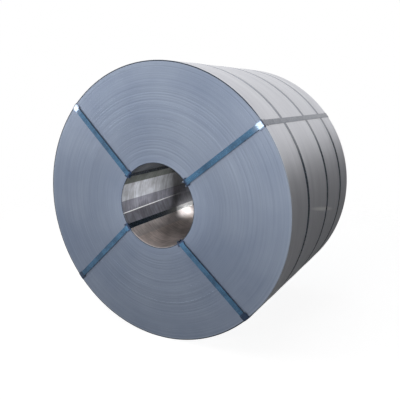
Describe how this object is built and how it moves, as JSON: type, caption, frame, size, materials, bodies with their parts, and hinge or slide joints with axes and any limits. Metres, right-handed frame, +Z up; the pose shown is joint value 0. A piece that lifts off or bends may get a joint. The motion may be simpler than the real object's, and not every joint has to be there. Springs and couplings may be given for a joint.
{
  "type": "steel coil",
  "caption": "Hot rolled steel strip coil, 1668 mm outside, 508 mm bore, 1200 mm wide, with seven steel bands, seals and edge guards.",
  "frame": {"origin": "the bore's centre at mid-width", "axes": "+Y along the bore from the near end, the one pictured, to the far end; +Z up as the coil lies; +X to the right seen from the near end"},
  "size_m": [1.6711, 1.2188, 1.6694],
  "materials": {
    "rolled_strip": "mill finish strip, satin",
    "strapping": "blue painted steel strapping",
    "guard_sheet": "dark blue painted sheet",
    "seal_steel": "blue painted steel seal, crimped"
  },
  "bodies": {
    "root": {"bore_guard_far_lower_left": "guard_sheet", "bore_guard_far_lower_right": "guard_sheet", "bore_guard_far_upper_left": "guard_sheet", "bore_guard_far_upper_right": "guard_sheet", "bore_guard_near_lower_left": "guard_sheet", "bore_guard_near_lower_right": "guard_sheet", "bore_guard_near_upper_left": "guard_sheet", "bore_guard_near_upper_right": "guard_sheet", "coil": "rolled_strip", "eye_band_lower_left": "strapping", "eye_band_lower_right": "strapping", "eye_band_upper_left": "strapping", "eye_band_upper_right": "strapping", "eye_seal_lower_left": "seal_steel", "eye_seal_lower_right": "seal_steel", "eye_seal_upper_left": "seal_steel", "eye_seal_upper_right": "seal_steel", "hoop_band_far": "strapping", "hoop_band_middle": "strapping", "hoop_band_near": "strapping", "hoop_seal_far": "seal_steel", "hoop_seal_middle": "seal_steel", "hoop_seal_near": "seal_steel", "rim_guard_far_lower_left": "guard_sheet", "rim_guard_far_lower_right": "guard_sheet", "rim_guard_far_upper_left": "guard_sheet", "rim_guard_far_upper_right": "guard_sheet", "rim_guard_near_lower_left": "guard_sheet", "rim_guard_near_lower_right": "guard_sheet", "rim_guard_near_upper_left": "guard_sheet", "rim_guard_near_upper_right": "guard_sheet"}
  },
  "joints": []
}
